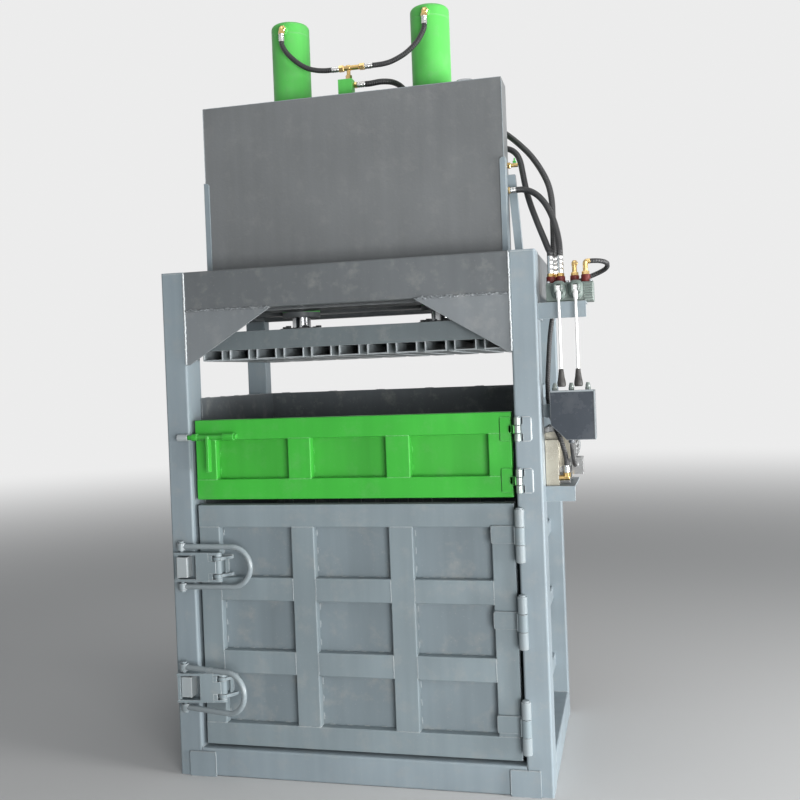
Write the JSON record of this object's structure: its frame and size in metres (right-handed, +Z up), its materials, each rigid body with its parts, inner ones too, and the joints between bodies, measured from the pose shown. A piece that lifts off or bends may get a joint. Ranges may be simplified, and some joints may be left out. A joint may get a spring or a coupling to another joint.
{
  "type": "recycling baler",
  "caption": "Upright hydraulic baler: welded frame, ribbed bale door with lever latches, feed door with bolt, press platen on twin cylinders, oil tank, hand valve and power pack.",
  "frame": {"origin": "on the floor at the middle of the frame, on the underside of the middle base beam", "axes": "+X to the right seen from the front, +Y to the back, +Z up"},
  "size_m": [1.7627, 1.0878, 3.105],
  "materials": {
    "frame_paint": "satin grey paint",
    "door_paint": "satin grey paint",
    "green_paint": "semi-gloss green paint",
    "tank_paint": "satin grey paint",
    "bright_steel": "zinc plated",
    "rod_chrome": "hard chrome",
    "brass": "machined brass",
    "hose_rubber": "matt black",
    "grip_rubber": "matt black",
    "valve_iron": "painted casting",
    "motor_metal": "cast",
    "box_paint": "satin grey paint",
    "fan_plastic": "matt"
  },
  "bodies": {
    "frame": {"post_front_left": "frame_paint", "post_front_right": "frame_paint", "posts_rear": "frame_paint", "header_front": "frame_paint", "frame_gussets": "frame_paint", "header_beams": "frame_paint", "cylinder_beams": "frame_paint", "base_beams": "frame_paint", "chamber_wall_left": "frame_paint", "chamber_wall_right": "frame_paint", "chamber_wall_back": "frame_paint", "wall_ribs": "frame_paint", "chamber_floor": "frame_paint", "post_hinge_leaves": "bright_steel", "hinge_pins": "bright_steel", "post_keepers": "door_paint", "cylinder_barrels": "green_paint", "cylinder_glands": "bright_steel", "oil_tank": "tank_paint", "tank_brackets": "frame_paint", "tank_cap": "bright_steel", "port_block": "green_paint", "hose_fittings": "brass", "hose_top_left": "hose_rubber", "hose_top_right": "hose_rubber", "hose_main": "hose_rubber", "hose_return": "hose_rubber", "hose_tank": "hose_rubber", "hose_pump": "hose_rubber", "motor_cable": "hose_rubber", "side_shelves": "frame_paint", "valve_block": "valve_iron", "starter_box": "box_paint", "starter_box_cover": "box_paint", "pump": "motor_metal", "motor": "motor_metal", "motor_cowl": "motor_metal"},
    "platen": {"platen_box": "frame_paint", "platen_channels": "door_paint", "rod_flanges": "bright_steel", "flange_bolts": "bright_steel", "piston_rods": "rod_chrome"},
    "bale_door": {"bale_door_grid": "door_paint", "bale_door_skin": "door_paint", "bale_door_leaves": "door_paint", "latch_lugs": "door_paint"},
    "latch_link_upper": {"latch_link_upper": "door_paint"},
    "latch_lever_upper": {"latch_lever_upper": "bright_steel"},
    "latch_link_lower": {"latch_link_lower": "door_paint"},
    "latch_lever_lower": {"latch_lever_lower": "bright_steel"},
    "feed_door": {"feed_door_grid": "green_paint", "feed_door_skin": "green_paint", "feed_door_leaves": "green_paint", "bolt_guides": "green_paint"},
    "feed_bolt": {"feed_bolt": "green_paint"},
    "valve_lever_left": {"valve_lever_left": "rod_chrome", "lever_grip_left": "grip_rubber"},
    "valve_lever_right": {"valve_lever_right": "rod_chrome", "lever_grip_right": "grip_rubber"},
    "motor_rotor": {"motor_rotor": "fan_plastic"}
  },
  "joints": [
    {"name": "platen_slide", "type": "slide", "parent": "frame", "child": "platen", "axis": [0, 0, -1], "range_m": [0, 1.05]},
    {"name": "bale_door_hinge", "type": "hinge", "parent": "frame", "child": "bale_door", "pos_m": [0.66, -0.478, 0.65], "axis": [0, 0, 1], "range_deg": [0, 170]},
    {"name": "feed_door_hinge", "type": "hinge", "parent": "frame", "child": "feed_door", "pos_m": [0.664, -0.472, 1.27], "axis": [0, 0, 1], "range_deg": [0, 170]},
    {"name": "feed_bolt_slide", "type": "slide", "parent": "feed_door", "child": "feed_bolt", "axis": [-1, 0, 0], "range_m": [-0.035, 0.038]},
    {"name": "latch_upper_link", "type": "hinge", "parent": "bale_door", "child": "latch_link_upper", "pos_m": [-0.54, -0.482, 0.848], "axis": [0, 0, 1], "range_deg": [0, 50]},
    {"name": "latch_upper_lever", "type": "hinge", "parent": "latch_link_upper", "child": "latch_lever_upper", "pos_m": [-0.697, -0.482, 0.848], "axis": [0, 0, 1], "range_deg": [-150, 0]},
    {"name": "latch_lower_link", "type": "hinge", "parent": "bale_door", "child": "latch_link_lower", "pos_m": [-0.54, -0.482, 0.37], "axis": [0, 0, 1], "range_deg": [-7, 43]},
    {"name": "latch_lower_lever", "type": "hinge", "parent": "latch_link_lower", "child": "latch_lever_lower", "pos_m": [-0.69583, -0.50113, 0.37], "axis": [0, 0, 1], "range_deg": [-129, 21]},
    {"name": "valve_lever_left_swing", "type": "hinge", "parent": "frame", "child": "valve_lever_left", "pos_m": [0.829, -0.45, 1.875], "axis": [1, 0, 0], "range_deg": [-10, 10], "stiffness_Nm_per_rad": 9},
    {"name": "valve_lever_right_swing", "type": "hinge", "parent": "frame", "child": "valve_lever_right", "pos_m": [0.89, -0.45, 1.875], "axis": [1, 0, 0], "range_deg": [-10, 10], "stiffness_Nm_per_rad": 9},
    {"name": "motor_spin", "type": "hinge", "parent": "frame", "child": "motor_rotor", "pos_m": [0.776, -0.18, 1.272], "axis": [0, 1, 0], "continuous": true}
  ],
  "couplings": [
    {"joint": "latch_upper_link", "follows": "latch_upper_lever", "ratio": -0.33333},
    {"joint": "latch_lower_link", "follows": "latch_lower_lever", "ratio": -0.33333}
  ]
}
